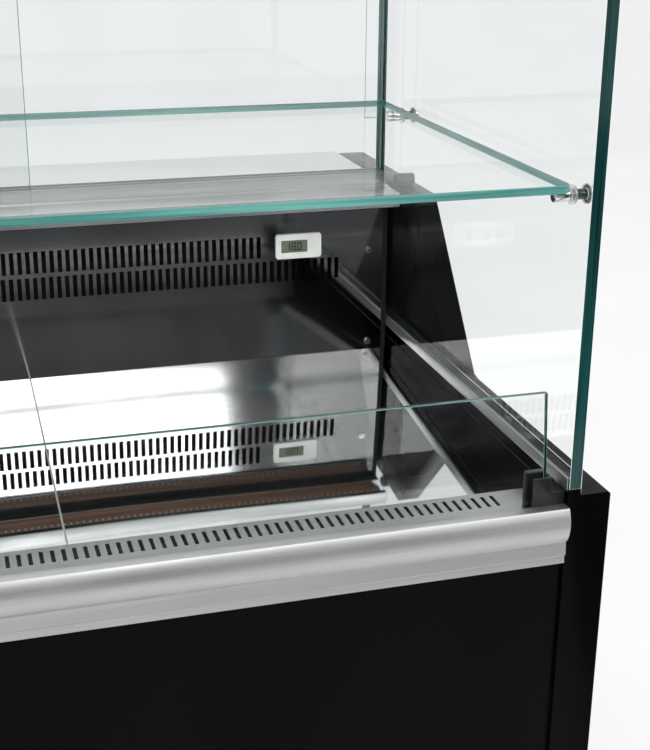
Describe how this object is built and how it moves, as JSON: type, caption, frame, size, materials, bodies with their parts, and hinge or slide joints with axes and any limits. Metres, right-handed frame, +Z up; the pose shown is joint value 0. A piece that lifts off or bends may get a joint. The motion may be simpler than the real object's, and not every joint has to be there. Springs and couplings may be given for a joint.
{
  "type": "refrigerated display case",
  "caption": "Self-service refrigerated deli case: black end panels, glass sides, shelf and top, slotted rear wall, polished sloping deck and a condensing unit in the base.",
  "frame": {"origin": "centre of the overall outline, on the floor", "axes": "+X to the right as seen by a customer, +Y from the customer side to the service side, +Z up"},
  "size_m": [0.803, 0.6272, 1.28],
  "materials": {
    "black_panel": "smooth semi-gloss black",
    "frame_paint": "dark powder coat",
    "foot_plastic": "moulded black plastic",
    "galvanised": "galvanised sheet",
    "stainless_liner": "satin stainless steel",
    "mirror_steel": "polished stainless steel",
    "slotted_steel": "satin stainless steel",
    "grille_steel": "satin stainless steel",
    "dark_lining": "reflective dark metal",
    "fastener_steel": "bright",
    "foam": "rigid foam",
    "duct_board": "matt dark facing",
    "pipe_plastic": "satin",
    "black_rubber": "matt",
    "bumper_metal": "satin anodised",
    "profile_metal": "satin anodised",
    "black_plastic": "satin",
    "clear_glass": "polished",
    "washer_plastic": "clear",
    "light_diffuser": "frosted",
    "worktop_steel": "satin stainless steel",
    "white_plastic": "satin white",
    "display_panel": "grey liquid crystal",
    "coil_fins": "bare fins",
    "motor_paint": "black",
    "fan_plastic": "moulded",
    "fan_metal": "pressed blades",
    "compressor_paint": "gloss black enamel",
    "condenser_paint": "black coated fins",
    "tray_steel": "galvanised",
    "copper": "bare copper",
    "box_plastic": "moulded",
    "knob_plastic": "satin black",
    "green_rocker": "translucent green",
    "black_rocker": "gloss"
  },
  "bodies": {
    "case": {"base_frame": "frame_paint", "end_panel_left": "black_panel", "end_panel_right": "black_panel", "front_panel": "black_panel", "kick_grille": "black_panel", "rear_panel": "galvanised", "tub_insulation": "foam", "tub_liner": "stainless_liner", "drain_pipe": "pipe_plastic", "back_insulation": "duct_board", "back_wall": "slotted_steel", "wall_screws": "fastener_steel", "side_lining_left": "dark_lining", "side_lining_right": "dark_lining", "corner_trims": "black_rubber", "deck_frame": "galvanised", "deck_pan_left": "mirror_steel", "deck_pan_right": "mirror_steel", "return_grille": "grille_steel", "bumper": "bumper_metal", "front_glass_channel": "profile_metal", "front_glass": "clear_glass", "glass_end_blocks": "black_plastic", "glass_channel_left": "profile_metal", "glass_channel_right": "profile_metal", "side_glass_left": "clear_glass", "side_glass_right": "clear_glass", "glass_clamps": "black_plastic", "shelf_glass": "clear_glass", "shelf_pegs": "fastener_steel", "peg_washers": "washer_plastic", "top_glass": "clear_glass", "light_profile": "profile_metal", "light_lens": "light_diffuser", "rear_worktop": "worktop_steel", "door_tracks": "profile_metal", "thermometer": "white_plastic", "thermometer_display": "display_panel", "evaporator": "coil_fins", "fan_plate": "galvanised", "evaporator_fan_motors": "motor_paint", "compressor": "compressor_paint", "condenser": "condenser_paint", "condenser_fan_motor": "motor_paint", "evaporation_tray": "tray_steel", "refrigerant_pipes": "copper", "control_box": "box_plastic", "power_inlet": "black_plastic"},
    "foot_front_left_body": {"foot_front_left": "foot_plastic"},
    "foot_front_right_body": {"foot_front_right": "foot_plastic"},
    "foot_rear_left_body": {"foot_rear_left": "foot_plastic"},
    "foot_rear_right_body": {"foot_rear_right": "foot_plastic"},
    "rear_door_left_body": {"rear_door_left": "clear_glass"},
    "rear_door_right_body": {"rear_door_right": "clear_glass"},
    "evaporator_fan_left_body": {"evaporator_fan_left": "fan_plastic"},
    "evaporator_fan_right_body": {"evaporator_fan_right": "fan_plastic"},
    "condenser_fan_body": {"condenser_fan": "fan_metal"},
    "thermostat_knob_body": {"thermostat_knob": "knob_plastic"},
    "power_switch_body": {"power_switch": "green_rocker"},
    "light_switch_body": {"light_switch": "black_rocker"}
  },
  "joints": [
    {"name": "foot_front_left_height", "type": "slide", "parent": "case", "child": "foot_front_left_body", "axis": [0, 0, 1], "range_m": [-0.02, 0.02]},
    {"name": "foot_front_right_height", "type": "slide", "parent": "case", "child": "foot_front_right_body", "axis": [0, 0, 1], "range_m": [-0.02, 0.02]},
    {"name": "foot_rear_left_height", "type": "slide", "parent": "case", "child": "foot_rear_left_body", "axis": [0, 0, 1], "range_m": [-0.02, 0.02]},
    {"name": "foot_rear_right_height", "type": "slide", "parent": "case", "child": "foot_rear_right_body", "axis": [0, 0, 1], "range_m": [-0.02, 0.02]},
    {"name": "rear_door_left_slide", "type": "slide", "parent": "case", "child": "rear_door_left_body", "axis": [1, 0, 0], "range_m": [0, 0.32]},
    {"name": "rear_door_right_slide", "type": "slide", "parent": "case", "child": "rear_door_right_body", "axis": [-1, 0, 0], "range_m": [0, 0.32]},
    {"name": "evaporator_fan_left_spin", "type": "hinge", "parent": "case", "child": "evaporator_fan_left_body", "pos_m": [-0.15, 0.0466, 0.76851], "axis": [0, 1, 0], "continuous": true},
    {"name": "evaporator_fan_right_spin", "type": "hinge", "parent": "case", "child": "evaporator_fan_right_body", "pos_m": [0.15, 0.0466, 0.76851], "axis": [0, 1, 0], "continuous": true},
    {"name": "condenser_fan_spin", "type": "hinge", "parent": "case", "child": "condenser_fan_body", "pos_m": [-0.11, -0.2014, 0.225], "axis": [0, 1, 0], "continuous": true},
    {"name": "thermostat_turn", "type": "hinge", "parent": "case", "child": "thermostat_knob_body", "pos_m": [0.06, 0.2836, 0.71], "axis": [0, 1, 0], "range_deg": [0, 270]},
    {"name": "power_switch_rock", "type": "hinge", "parent": "case", "child": "power_switch_body", "pos_m": [0.12, 0.2806, 0.71], "axis": [1, 0, 0], "range_deg": [0, 22]},
    {"name": "light_switch_rock", "type": "hinge", "parent": "case", "child": "light_switch_body", "pos_m": [0.16, 0.2806, 0.71], "axis": [1, 0, 0], "range_deg": [0, 22]}
  ]
}
